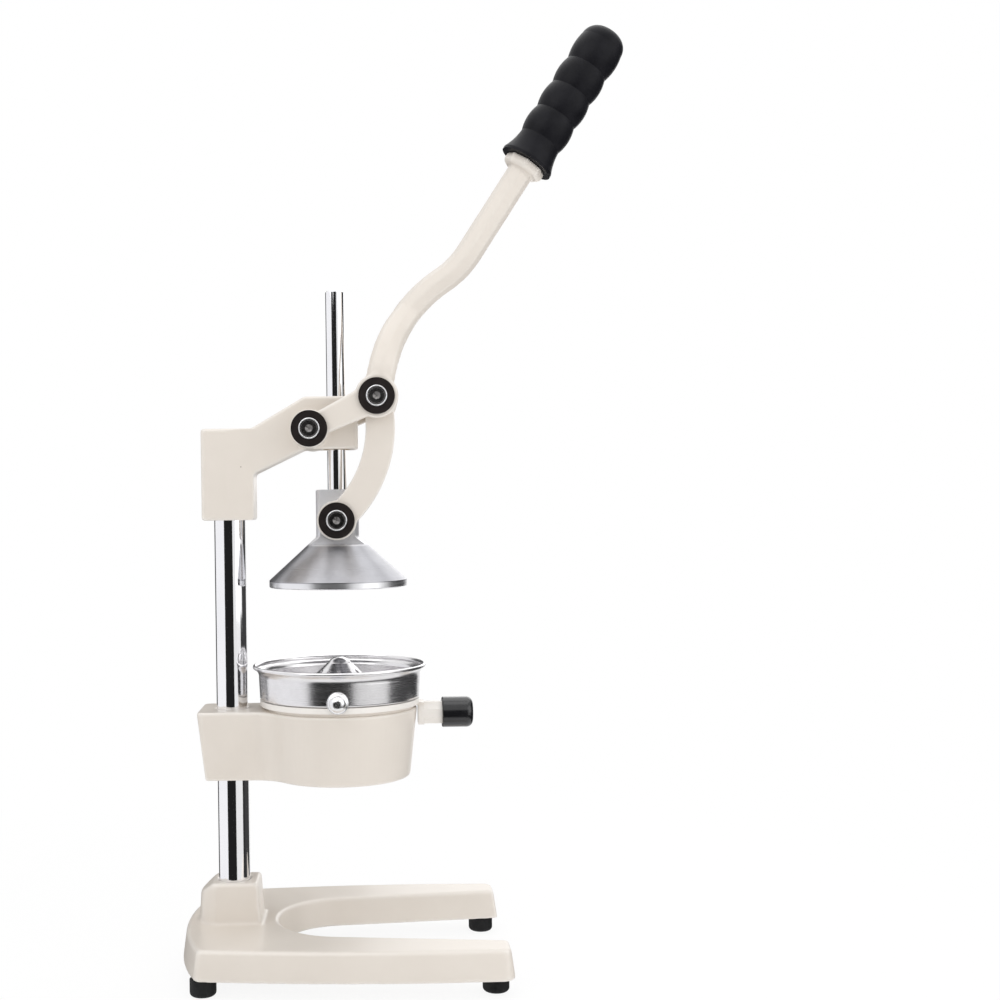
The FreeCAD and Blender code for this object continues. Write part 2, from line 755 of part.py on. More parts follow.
def make_head():
    body = new_body("head")
    back = COLUMN_X - size("head_block_back")
    front = COLUMN_X + size("head_block_front")
    reach, corner = size("guide_reach"), size("head_edge_radius")
    half = size("head_block_width") / 2
    step = half - size("head_arm_width") / 2
    sketch = new_sketch(body, "XY_Plane", (0, 0, HEAD_BOTTOM), "dims.lever_pivot_height - dims.head_drop")
    draw_rounded(sketch, [(back, -half, step), (front, -half, step), (front, half, step), (back, half, step)])
    extrude(body, sketch, "dims.head_drop + dims.head_block_rise")
    soften(body, "dims.head_edge_radius", level(HEAD_BOTTOM, HEAD_BLOCK_TOP))
    sketch = new_sketch(body, "XZ_Plane")
    draw_rounded(sketch, [
        (front - half, PIVOT_A[1] - size("head_web_drop") - half),
        (front, PIVOT_A[1] - size("head_web_drop"), corner),
        (PIVOT_A[0] - corner * 3, GUIDE_BOTTOM, corner * 3),
        (reach, GUIDE_BOTTOM, corner),
        (reach, GUIDE_TOP, corner),
        (-size("head_arm_elbow") + corner * 4, GUIDE_TOP, corner),
        (front - corner, HEAD_BLOCK_TOP, corner * 2),
        (front - half, HEAD_BLOCK_TOP - corner),
    ])
    extrude(body, sketch, "dims.head_arm_width", both=True)
    sketch = new_sketch(body, "XZ_Plane")
    draw_circle(sketch, PIVOT_A, size("head_boss_radius"))
    extrude(body, sketch, "dims.cheek_inside - 2 * dims.side_play", both=True)
    cross_bore(body, PIVOT_A, PIN_RADIUS + size("press_fit"))
    bore = COLUMN_RADIUS + size("press_fit")
    turn(body, (0, HEAD_BOTTOM - 1), [
        (bore, HEAD_BOTTOM - 1),
        (bore, COLUMN_TOP + size("column_end_gap")),
        (0, COLUMN_TOP + size("column_end_gap")),
    ], kind="Groove", shift=(COLUMN_X, 0, 0))
    turn(body, (0, GUIDE_BOTTOM - 1), [
        (size("bush_radius") + size("press_fit"), GUIDE_BOTTOM - 1),
        (size("bush_radius") + size("press_fit"), GUIDE_TOP + 1),
        (0, GUIDE_TOP + 1),
    ], kind="Groove")
    middle = (HEAD_BOTTOM + HEAD_BLOCK_TOP) / 2
    screw_bore(body, middle, "dims.head_block_back + 2")
    make_set_screw("head_set_screw", middle)
    bush = new_body("guide_bush")
    turn(bush, (ROD_RADIUS + size("running_fit"), GUIDE_BOTTOM), [
        (size("bush_radius"), GUIDE_BOTTOM),
        (size("bush_radius"), GUIDE_TOP),
        (ROD_RADIUS + size("running_fit"), GUIDE_TOP),
    ])


def bar_path():
    """The corners of the lever's centre line: its joints and the middles of its two bends."""
    start, elbow, end = (math.radians(size(name)) for name in
                         ("bar_start_angle", "bar_elbow_angle", "bar_end_angle"))
    first, second = size("bar_first_radius"), size("bar_second_radius")

    def right_bend(point, to):
        return (point[0] + first * (math.sin(start) - math.sin(to)),
                point[1] + first * (math.cos(to) - math.cos(start)))

    def left_bend(point, to):
        return (point[0] + second * (math.sin(to) - math.sin(elbow)),
                point[1] + second * (math.cos(elbow) - math.cos(to)))

    foot = (PIVOT_B[0] + size("bar_rise") * math.cos(start),
            PIVOT_B[1] + size("bar_rise") * math.sin(start))
    knee = right_bend(foot, elbow)
    hip = left_bend(knee, end)
    top = (hip[0] + size("bar_run") * math.cos(end), hip[1] + size("bar_run") * math.sin(end))
    return {
        "foot": foot,
        "first_middle": right_bend(foot, (start + elbow) / 2),
        "knee": knee,
        "second_middle": left_bend(knee, (elbow + end) / 2),
        "hip": hip,
        "top": top,
    }


def make_lever():
    body = new_body("lever")
    bar = bar_path()
    for centre, radius in ((PIVOT_A, size("lever_boss_a")), (PIVOT_B, size("lever_boss_b"))):
        sketch = new_sketch(body, "XZ_Plane")
        draw_circle(sketch, centre, radius)
        extrude(body, sketch, "dims.cheek_outside", both=True)
    lean = math.radians(size("crank_rest_angle"))
    side = (-math.sin(lean), math.cos(lean))
    near, far = size("arm_width_a") / 2, size("arm_width_b") / 2
    sketch = new_sketch(body, "XZ_Plane")
    draw(sketch, (PIVOT_A[0] - side[0] * near, PIVOT_A[1] - side[1] * near), [
        (PIVOT_B[0] - side[0] * far, PIVOT_B[1] - side[1] * far),
        (PIVOT_B[0] + side[0] * far, PIVOT_B[1] + side[1] * far),
        (PIVOT_A[0] + side[0] * near, PIVOT_A[1] + side[1] * near),
    ])
    extrude(body, sketch, "dims.cheek_outside", both=True)
    open_fork(body)
    for way in (-1, 1):
        add_leg(body, bar, way)
    cross_bore(body, PIVOT_A, PIN_RADIUS + size("running_fit"))
    cross_bore(body, PIVOT_B, PIN_RADIUS + size("press_fit"))
    add_bar(body, bar)
    add_collar(body, bar)


def quarter(share):
    """The centre line's direction at a share of its first bend."""
    start, elbow = math.radians(size("bar_start_angle")), math.radians(size("bar_elbow_angle"))
    return start + (elbow - start) * share


def bend_point(bar, share):
    first, start, here = size("bar_first_radius"), quarter(0), quarter(share)
    return (bar["foot"][0] + first * (math.sin(start) - math.sin(here)),
            bar["foot"][1] + first * (math.cos(here) - math.cos(start)))


def open_fork(body):
    """Clear the space between the fork's two cheeks."""
    inside = size("cheek_inside") / 2
    roof = PIVOT_B[1] + size("fork_roof")
    low = PIVOT_A[1] - size("lever_boss_b")
    sketch = new_sketch(body, "YZ_Plane")
    draw(sketch, (-inside, low), [(inside, low), (inside, roof), (-inside, roof)])
    extrude(body, sketch, "dims.crank_radius * 8", kind="Pocket", both=True)


def add_section(body, point, angle, shift, width, depth):
    """An eight-sided sketch square to the lever's path, with corners to the sides and the front."""
    section = body.newObject("Sketcher::SketchObject", body.Name + "_section")
    turns = [math.pi * index / 4 for index in range(8)]
    corners = [(width / 2 * math.cos(a), depth / 2 * math.sin(a)) for a in turns]
    draw(section, corners[0], corners[1:])
    tilt = 90 - math.degrees(angle)
    section.Placement = Placement(Vector(point[0], shift, point[1]), Rotation(Vector(0, 1, 0), tilt))
    return section


def add_loft(body, sections, ruled=False):
    loft = body.newObject("PartDesign::AdditiveLoft", body.Name + "_loft")
    loft.Profile = sections[0]
    loft.Sections = sections[1:]
    loft.Ruled = ruled
    body.Tip = loft


def add_leg(body, bar, way):
    """One leg of the fork, drawn in from its cheek to the bar."""
    thick = (size("cheek_outside") - size("cheek_inside")) / 2 - 3 * size("side_play")
    cheek = (size("cheek_outside") + size("cheek_inside")) / 4
    wide, narrow = size("fork_leg_width"), size("bar_width")
    start = quarter(0)
    halfway = ((PIVOT_B[0] + bar["foot"][0]) / 2, (PIVOT_B[1] + bar["foot"][1]) / 2)
    stations = [
        (PIVOT_B, start, cheek, wide, thick),
        (halfway, start, cheek, wide, thick),
        (bar["foot"], start, cheek * 0.99, wide, thick),
    ]
    for share, inward, deep in ((0.2, 0.77, 1.2), (0.4, 0.38, 1.5), (0.62, 0.05, 1.6)):
        width = wide + (narrow * 0.97 - wide) * share / 0.62
        stations.append((bend_point(bar, share), quarter(share), cheek * inward, width, thick * deep))
    add_loft(body, [add_section(body, point, angle, way * shift, width, depth)
                    for point, angle, shift, width, depth in stations])


def add_bar(body, bar):
    """The eight-sided bar along its two bends, and the round tang that holds the grip."""
    spine = new_sketch(body, "XZ_Plane")
    root = bend_point(bar, 0.5)
    spine.addGeometry(Part.Arc(Vector(*root, 0), Vector(*bend_point(bar, 0.75), 0), Vector(*bar["knee"], 0)))
    spine.addGeometry(Part.Arc(Vector(*bar["knee"], 0), Vector(*bar["second_middle"], 0),
                               Vector(*bar["hip"], 0)))
    spine.addGeometry(Part.LineSegment(Vector(*bar["hip"], 0), Vector(*bar["top"], 0)))
    pipe = body.newObject("PartDesign::AdditivePipe", "bar")
    pipe.Profile = add_section(body, root, quarter(0.5), 0, size("bar_width"), size("bar_width"))
    pipe.Spine = (spine, ["Edge1", "Edge2", "Edge3"])
    body.Tip = pipe
    tang = body.newObject("PartDesign::AdditiveCylinder", "tang")
    bind(tang, "Radius", "dims.tang_diameter / 2")
    bind(tang, "Height", "dims.tang_length + 1")
    tilt = 90 - size("bar_end_angle")
    lean = math.radians(tilt)
    tang.Placement = Placement(Vector(bar["top"][0] - math.sin(lean), 0, bar["top"][1] - math.cos(lean)),
                               Rotation(Vector(0, 1, 0), tilt))
    body.Tip = tang


def add_collar(body, bar):
    """The eight-sided collar below the grip, beveled towards the bar."""
    end, top = math.radians(size("bar_end_angle")), bar["top"]
    drop = size("collar_bevel")
    below = (top[0] - drop * math.cos(end), top[1] - drop * math.sin(end))
    above = (top[0] + size("collar_thickness") * math.cos(end), top[1] + size("collar_thickness") * math.sin(end))
    wide = size("collar_width")
    add_loft(body, [add_section(body, below, end, 0, wide - 2 * drop, wide - 2 * drop),
                    add_section(body, top, end, 0, wide, wide)], ruled=True)
    add_loft(body, [add_section(body, top, end, 0, wide, wide),
                    add_section(body, above, end, 0, wide, wide)], ruled=True)


def make_grip():
    bar = bar_path()
    tilt = 90 - size("bar_end_angle")
    bore = size("tang_diameter") / 2 + size("press_fit")
    grip = new_body("grip")
    long, flare = size("grip_length"), size("grip_flare") / 2
    waist, bulge = size("grip_waist") / 2, size("grip_bulge") / 2
    waves = int(size("grip_waves"))
    first = long * 0.17
    step = (long - first - bulge * 0.6) / waves
    sketch = new_sketch(grip, "XZ_Plane")
    depth = size("tang_length") - size("collar_thickness") + 1
    steps = [(flare, 0), (flare, 2), ((waist + 1.2, first * 0.55), (waist, first))]
    for wave in range(waves):
        low = first + step * wave
        steps.append(((bulge, low + step / 2), (waist if wave < waves - 1 else bulge - 1, low + step)))
    steps += [((bulge * 0.75, long - bulge * 0.17), (bulge * 0.3, long)), (0, long), (0, depth), (bore, depth)]
    draw(sketch, (bore, 0), steps)
    feature = grip.newObject("PartDesign::Revolution", "grip_turned")
    feature.Profile = sketch
    feature.ReferenceAxis = (sketch, ["V_Axis"])
    grip.Tip = feature
    lean = math.radians(tilt)
    seat = size("collar_thickness")
    place(grip, (bar["top"][0] + seat * math.sin(lean), 0, bar["top"][1] + seat * math.cos(lean)),
          Vector(0, 1, 0), tilt)


def make_pins():
    """Each pivot has a pin, a dark disc at both ends and a bright ring over each disc."""
    pivots = {
        "a": (PIVOT_A, size("cheek_outside") / 2 + size("side_play")),
        "b": (PIVOT_B, size("cheek_outside") / 2),
        "c": (PIVOT_C, size("link_inside") / 2 + size("link_thickness") + size("side_play")),
    }
    disc_t, ring_t = size("disc_thickness"), size("ring_thickness")
    dimple = size("dimple_diameter") / 2
    for name, (centre, seat) in pivots.items():
        end = seat + disc_t + ring_t
        body = new_body("pivot_pin_" + name)
        if name == "b":
            neck = size("cheek_inside") / 2
            thin = size("slot_pin_diameter") / 2
            waist = [(PIN_RADIUS, neck), (thin, neck), (thin, -neck), (PIN_RADIUS, -neck)]
        else:
            waist = []
        turn(body, (0, end - 1.6), [
            (dimple, end),
            (PIN_RADIUS - 0.5, end),
            (PIN_RADIUS, end - 0.5),
        ] + waist + [
            (PIN_RADIUS, 0.5 - end),
            (PIN_RADIUS - 0.5, -end),
            (dimple, -end),
            (0, 1.6 - end),
        ])
        place(body, (centre[0], 0, centre[1]), Vector(1, 0, 0), 90)
        washers("pivot_discs_" + name, centre, seat, "dims.disc_diameter / 2", "dims.disc_thickness")
        washers("pivot_rings_" + name, centre, seat + disc_t, "dims.ring_diameter / 2",
                "dims.ring_thickness")


def washers(label, centre, seat, radius, thickness):
    """A pair of round washers, one on each side of the press."""
    pair = []
    for way, angle in ((-1, 90), (1, -90)):
        spot = (centre[0], way * seat, centre[1])
        before = (centre[0], way * (seat - 1), centre[1])
        disc = cylinder("%s_disc_%d" % (label, angle % 360), radius, thickness, spot, angle)
        hole = cylinder("%s_hole_%d" % (label, angle % 360), "dims.pin_diameter / 2 + dims.press_fit",
                        thickness + " + 2", before, angle)
        pair.append(cut("%s_%d" % (label, angle % 360), disc, hole))
    group(label, pair)


def make_links():
    span, bow = size("link_length"), size("link_bow")
    half, eye = size("link_width") / 2, size("link_eye_radius")
    radius = (span ** 2 / 4 + bow ** 2) / (2 * bow)
    along = (math.sin(LINK_TILT), math.cos(LINK_TILT))
    across = (math.cos(LINK_TILT), -math.sin(LINK_TILT))

    def point(length, sideways):
        return (PIVOT_C[0] + along[0] * length + across[0] * sideways,
                PIVOT_C[1] + along[1] * length + across[1] * sideways)

    def edge(shift):
        """Ends and middle of an arc beside the link's centre line."""
        open_angle = math.asin(span / 2 / radius)
        big = radius + shift
        rise = bow - radius
        return (point(span / 2 - big * math.sin(open_angle), rise + big * math.cos(open_angle)),
                point(span / 2, rise + big),
                point(span / 2 + big * math.sin(open_angle), rise + big * math.cos(open_angle)))

    outer, inner = edge(half), edge(-half)
    left_reach, right_reach, wander = slot_reach()
    slot_half = size("slot_pin_diameter") / 2 + size("slot_slack") + wander
    shares = size("link_inside") / 2, size("link_thickness")
    boss = shares[0] - size("hub_flat") / 2 - size("side_play")
    for label, plate_start, boss_start in (
            ("link_left", shares[0], shares[0] - boss),
            ("link_right", -shares[0] - shares[1], -shares[0])):
        body = new_body(label)
        sketch = new_sketch(body, "XZ_Plane", (0, 0, plate_start))
        draw(sketch, outer[0], [(outer[1], outer[2]), inner[2], (inner[1], inner[0])])
        extrude(body, sketch, "dims.link_thickness")
        for centre in (PIVOT_C, PIVOT_B):
            sketch = new_sketch(body, "XZ_Plane", (0, 0, plate_start))
            draw_circle(sketch, centre, eye)
            extrude(body, sketch, "dims.link_thickness")
        sketch = new_sketch(body, "XZ_Plane", (0, 0, boss_start))
        draw_circle(sketch, PIVOT_C, eye)
        extrude(body, sketch, "(dims.link_inside - dims.hub_flat) / 2 - dims.side_play")
        cross_bore(body, PIVOT_C, PIN_RADIUS + size("running_fit"))
        sketch = new_sketch(body, "XZ_Plane")
        low, high = span - slot_half, span + slot_half
        left = left_reach
        draw(sketch, point(low, left), [
            (point(span, left - slot_half), point(high, left)),
            point(high, right_reach),
            (point(span, right_reach + slot_half), point(low, right_reach)),
        ])
        extrude(body, sketch, "dims.cheek_outside * 2", kind="Pocket", both=True)


def make_press():
    rod = new_body("push_rod")
    bevel, low = size("rod_chamfer"), HUB_TOP - size("rod_grip")
    rod_top = PIVOT_A[1] + size("rod_rise")
    turn(rod, (0, low), [
        (ROD_RADIUS - bevel, low),
        (ROD_RADIUS, low + bevel),
        (ROD_RADIUS, rod_top - bevel),
        (ROD_RADIUS - bevel, rod_top),
        (0, rod_top),
    ])
    body = new_body("press_cone")
    hub, wide, wall = size("hub_radius"), size("press_radius"), size("press_wall")
    neck = PIVOT_C[1] - size("hub_drop")
    rim_low = PIVOT_C[1] - size("press_drop")
    rim_top = rim_low + size("press_band")
    flat, drop = size("hub_flat") / 2, size("hub_flat_drop")
    cavity = PIVOT_C[1] - drop - wall
    steep = (neck - rim_top) / (wide - hub)
    cavity_radius = hub + (neck - wall - cavity) / steep
    lower, middle, upper = rounded((wide, rim_top), (hub, neck, size("press_fillet")), (hub, HUB_TOP))
    turn(body, (0, HUB_TOP), [
        (hub - 0.8, HUB_TOP),
        (hub, HUB_TOP - 0.8),
        upper,
        (middle, lower),
        (wide, rim_top),
        (wide, rim_low + 0.5),
        (wide - 0.5, rim_low),
        (wide - wall / 2, rim_low),
        (wide - wall / 2, rim_top - wall + wall / 2 * steep),
        (cavity_radius, cavity),
        (0, cavity),
    ])
    for way in (-1, 1):
        near, far = (flat, hub * 2) if way > 0 else (-hub * 2, -flat)
        sketch = new_sketch(body, "YZ_Plane")
        draw(sketch, (near, PIVOT_C[1] - drop), [
            (far, PIVOT_C[1] - drop),
            (far, HUB_TOP + 1),
            (near, HUB_TOP + 1),
        ])
        extrude(body, sketch, "dims.press_radius * 2", kind="Pocket", both=True)
    cross_bore(body, PIVOT_C, PIN_RADIUS + size("press_fit"))
    bore = ROD_RADIUS + size("press_fit")
    turn(body, (0, low), [(bore, low), (bore, HUB_TOP + 1), (0, HUB_TOP + 1)], kind="Groove")


NODES = (
    "base", "foot_front_left", "foot_front_right", "foot_rear_left", "foot_rear_right",
    "foot_screws", "column", "column_washer", "column_bolt", "carrier", "carrier_set_screw",
    "funnel", "handle_cap", "strainer_cup", "cup_stud", "reamer", "head", "head_set_screw",
    "guide_bush", "lever", "grip", "pivot_pin_a", "pivot_pin_b", "pivot_pin_c",
    "pivot_discs_a", "pivot_discs_b", "pivot_discs_c", "pivot_rings_a", "pivot_rings_b",
    "pivot_rings_c", "link_left", "link_right", "push_rod", "press_cone",
)


def write_parts():
    """Check every object and every piece first, then write one file for each node."""
    doc.recompute()
    for obj in doc.Objects:
        if "Invalid" in obj.State or "Error" in obj.State:
            raise RuntimeError("%s is not built: %s" % (obj.Name, obj.State))
    pieces = {}
    for obj in doc.Objects:
        if obj.Label in NODES:
            pieces[obj.Label] = obj.Shape
    for name in NODES:
        shape = pieces[name]
        if shape.isNull() or not shape.isValid():
            raise RuntimeError("%s has no valid shape" % name)
    os.makedirs("parts", exist_ok=True)
    print("pivots", PIVOT_A, PIVOT_B, PIVOT_C, "slot", slot_reach())
    for name in NODES:
        pieces[name].exportStep("parts/%s.step" % name)
        box = pieces[name].optimalBoundingBox(False)
        print("%-20s solids %d  volume %10.1f  x %.1f %.1f  y %.1f %.1f  z %.1f %.1f" % (
            name, len(pieces[name].Solids), pieces[name].Volume,
            box.XMin, box.XMax, box.YMin, box.YMax, box.ZMin, box.ZMax))


make_base()
make_feet()
make_column()
make_carrier()
make_funnel()
make_handle_cap()
make_cup()
make_reamer()
make_head()
make_lever()
make_grip()
make_pins()
make_links()
make_press()
write_parts()
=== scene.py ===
import math

import bmesh
import bpy
from mathutils import Matrix, Vector


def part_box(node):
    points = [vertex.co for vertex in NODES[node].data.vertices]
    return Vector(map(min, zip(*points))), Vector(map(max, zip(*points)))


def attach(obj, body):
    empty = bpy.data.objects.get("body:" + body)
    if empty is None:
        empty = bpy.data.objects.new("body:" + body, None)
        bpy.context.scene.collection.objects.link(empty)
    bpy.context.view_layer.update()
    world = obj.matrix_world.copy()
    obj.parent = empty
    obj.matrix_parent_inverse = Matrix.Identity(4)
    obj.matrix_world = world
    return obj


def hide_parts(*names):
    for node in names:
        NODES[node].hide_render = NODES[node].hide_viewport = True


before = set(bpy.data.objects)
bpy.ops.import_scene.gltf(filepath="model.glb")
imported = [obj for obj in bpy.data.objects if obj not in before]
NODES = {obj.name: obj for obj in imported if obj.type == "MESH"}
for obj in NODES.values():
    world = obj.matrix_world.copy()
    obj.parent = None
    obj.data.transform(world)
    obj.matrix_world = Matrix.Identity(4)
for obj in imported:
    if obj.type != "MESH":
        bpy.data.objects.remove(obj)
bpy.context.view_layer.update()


def add_object(name, data):
    """A new object in the scene."""
    obj = bpy.data.objects.new(name, data)
    bpy.context.scene.collection.objects.link(obj)
    return obj


# Camera, from a fit to the photograph: place in metres, angles in degrees, picture in pixels

CAMERA_PLACE = (0.0243, -0.9331, 0.3065)
CAMERA_YAW = 0.49
CAMERA_PITCH = -0.44
CAMERA_ROLL = -0.74
FOCAL_PIXELS = 1372.5
IMAGE_PIXELS = 1000
CENTRE_U = 385
CENTRE_V = 520
SENSOR = 36                 # width in millimetres
CLIP = (0.01, 50)           # nearest and farthest, in metres


def make_camera():
    data = bpy.data.cameras.new("photo_camera")
    data.sensor_width = SENSOR
    data.lens = FOCAL_PIXELS / IMAGE_PIXELS * SENSOR
    data.shift_x = (IMAGE_PIXELS / 2 - CENTRE_U) / IMAGE_PIXELS
    data.shift_y = (CENTRE_V - IMAGE_PIXELS / 2) / IMAGE_PIXELS
    data.clip_start, data.clip_end = CLIP
    camera = add_object("photo_camera", data)
    turn = Matrix.Rotation(math.radians(-CAMERA_YAW), 4, "Z")
    turn = turn @ Matrix.Rotation(math.radians(90 + CAMERA_PITCH), 4, "X")
    turn = turn @ Matrix.Rotation(math.radians(CAMERA_ROLL), 4, "Z")
    camera.matrix_world = Matrix.Translation(Vector(CAMERA_PLACE)) @ turn
    bpy.context.scene.camera = camera


# Steps that the materials are made of. A noise's scale is per metre of the piece's own space.

NOISE_ROUGHNESS = 0.6
TONE_DETAIL = 5.0
FINE_DETAIL = 3.0
CAST_DETAIL = 2.0
FINE_RELIEF = 0.0002        # depths of relief in metres
CAST_RELIEF = 0.0008
TOOL_RELIEF = 0.00004


def new_material(name):
    mat = bpy.data.materials.new(name)
    mat.use_nodes = True
    tree = mat.node_tree
    shader = tree.nodes["Principled BSDF"]
    coords = tree.nodes.new("ShaderNodeTexCoord")
    return mat, tree, shader, coords


def noise(tree, coords, scale, detail, stretch=None):
    """Noise in the piece's own coordinates, stretched along an axis if asked."""
    node = tree.nodes.new("ShaderNodeTexNoise")
    node.inputs["Scale"].default_value = scale
    node.inputs["Detail"].default_value = detail
    node.inputs["Roughness"].default_value = NOISE_ROUGHNESS
    source = coords.outputs["Object"]
    if stretch:
        mapping = tree.nodes.new("ShaderNodeMapping")
        mapping.inputs["Scale"].default_value = stretch
        tree.links.new(source, mapping.inputs["Vector"])
        source = mapping.outputs["Vector"]
    tree.links.new(source, node.inputs["Vector"])
    return node.outputs["Fac"]


def colour_between(tree, factor, low, high, start=0.3, end=0.7):
    ramp = tree.nodes.new("ShaderNodeValToRGB")
    ramp.color_ramp.elements[0].position = start
    ramp.color_ramp.elements[0].color = (*low, 1)
    ramp.color_ramp.elements[1].position = end
    ramp.color_ramp.elements[1].color = (*high, 1)
    tree.links.new(factor, ramp.inputs["Fac"])
    return ramp.outputs["Color"]


def value_between(tree, factor, low, high, start=0.3, end=0.7):
    """The value low where the factor is at start, high where it is at end."""
    spread = tree.nodes.new("ShaderNodeMapRange")
    spread.inputs["From Min"].default_value = start
    spread.inputs["From Max"].default_value = end
    spread.inputs["To Min"].default_value = low
    spread.inputs["To Max"].default_value = high
    tree.links.new(factor, spread.inputs["Value"])
    return spread.outputs["Result"]


def blend_colour(tree, factor, under, over):
    """The colour over, a plain tuple, laid on the colour under by a factor from 0 to 1."""
    mix = tree.nodes.new("ShaderNodeMix")
    mix.data_type = "RGBA"
    tree.links.new(factor, mix.inputs["Factor"])
    tree.links.new(under, mix.inputs["A"])
    mix.inputs["B"].default_value = (*over, 1)
    return mix.outputs["Result"]


def combine(tree, operation, first, second):
    node = tree.nodes.new("ShaderNodeMath")
    node.operation = operation
    tree.links.new(first, node.inputs[0])
    tree.links.new(second, node.inputs[1])
    return node.outputs["Value"]


def vector_length(tree, vector):
    node = tree.nodes.new("ShaderNodeVectorMath")
    node.operation = "LENGTH"
    tree.links.new(vector, node.inputs[0])
    return node.outputs["Value"]


def bump(tree, shader, layers):
    """Stack bump layers, each a height output, a strength and a depth in metres."""
    normal = None
    for height, strength, depth in layers:
        node = tree.nodes.new("ShaderNodeBump")
        node.inputs["Strength"].default_value = strength
        node.inputs["Distance"].default_value = depth
        tree.links.new(height, node.inputs["Height"])
        if normal:
            tree.links.new(normal, node.inputs["Normal"])
        normal = node.outputs["Normal"]
    tree.links.new(normal, shader.inputs["Normal"])


# Kinds of material

MOULDED_BUMP = 0.12
VINYL_COAT_ROUGHNESS = 0.12


def finished(name, low, high, rough, metallic=0.0, tone_scale=30, peel_scale=700, peel=0.1,
             cast_scale=None, coat=0.0, gloss=0.5, stretch=None):
    """A surface with a drifting tone, a drifting roughness and a fine relief."""
    mat, tree, shader, coords = new_material(name)
    drift = noise(tree, coords, tone_scale, TONE_DETAIL)
    fine = noise(tree, coords, peel_scale, FINE_DETAIL, stretch)
    tree.links.new(colour_between(tree, drift, low, high), shader.inputs["Base Color"])
    tree.links.new(value_between(tree, fine, *rough), shader.inputs["Roughness"])
    layers = [(fine, peel, FINE_RELIEF)]
    if cast_scale:
        moulded = noise(tree, coords, cast_scale, CAST_DETAIL)
        layers.append((moulded, MOULDED_BUMP, CAST_RELIEF))
    bump(tree, shader, layers)
    shader.inputs["Metallic"].default_value = metallic
    shader.inputs["Specular IOR Level"].default_value = gloss
    shader.inputs["Coat Weight"].default_value = coat
    shader.inputs["Coat Roughness"].default_value = VINYL_COAT_ROUGHNESS
    return mat


METAL_TONE_SCALE = 40
METAL_TONE_DETAIL = 4.0
LOWER_FADE = 0.0003         # half the height over which the polish fades out at each end of the
UPPER_FADE = 0.001          # unpolished part, in metres


def turned_metal(name, low, high, rough, pitch=2600, strength=0.25, polished=None):
    """Fine tool rings round the press axis, over a drifting tone.

    It may be polished to one bright tone below one height and above another, and be duller
    above the second.
    """
    mat, tree, shader, coords = new_material(name)
    drift = noise(tree, coords, METAL_TONE_SCALE, METAL_TONE_DETAIL)
    split = tree.nodes.new("ShaderNodeSeparateXYZ")
    tree.links.new(coords.outputs["Object"], split.inputs["Vector"])
    height = split.outputs["Z"]
    flat = tree.nodes.new("ShaderNodeCombineXYZ")
    for axis in "XY":
        tree.links.new(split.outputs[axis], flat.inputs[axis])
    place = tree.nodes.new("ShaderNodeCombineXYZ")
    tree.links.new(vector_length(tree, flat.outputs["Vector"]), place.inputs["X"])
    tree.links.new(height, place.inputs["Y"])
    rings = tree.nodes.new("ShaderNodeTexNoise")
    rings.inputs["Scale"].default_value = pitch
    rings.inputs["Detail"].default_value = FINE_DETAIL
    tree.links.new(place.outputs["Vector"], rings.inputs["Vector"])
    colour = colour_between(tree, drift, low, high)
    roughness = value_between(tree, rings.outputs["Fac"], *rough)
    if polished:
        (under, over), tone, duller = polished
        below = value_between(tree, height, 1.0, 0.0, under - LOWER_FADE, under + LOWER_FADE)
        above = value_between(tree, height, 0.0, 1.0, over - UPPER_FADE, over + UPPER_FADE)
        colour = blend_colour(tree, below, blend_colour(tree, above, colour, tone), tone)
        added = value_between(tree, above, 0.0, duller, 0.0, 1.0)
        roughness = combine(tree, "ADD", roughness, added)
    tree.links.new(colour, shader.inputs["Base Color"])
    tree.links.new(roughness, shader.inputs["Roughness"])
    bump(tree, shader, [(rings.outputs["Fac"], strength, TOOL_RELIEF)])
    shader.inputs["Metallic"].default_value = 1.0
    return mat


ENAMEL_TONE_SCALE = 16
ENAMEL_PEEL_SCALE = 480
ENAMEL_CAST_SCALE = 55
ENAMEL_BUMP = 0.10
ENAMEL_ROUGHNESS = (0.30, 0.40)
ENAMEL_COAT = 0.2
ENAMEL_COAT_ROUGHNESS = 0.15
EDGE_HIGHLIGHT = 0.8             # how much of the painted edge highlight's colour shows on the sharpest edges
EDGE_POINTINESS = (0.507, 0.56)     # where the painted edge highlight starts, and where it is full
SPECK_SCALE = 42
SPECK_RADIUS = (0.012, 0.022)   # in cells of the speck pattern: full, and gone
SPECK_PATCH_SCALE = 23
SPECK_PATCH_EDGE = (0.52, 0.56)
SPECK_BUMP = 0.3


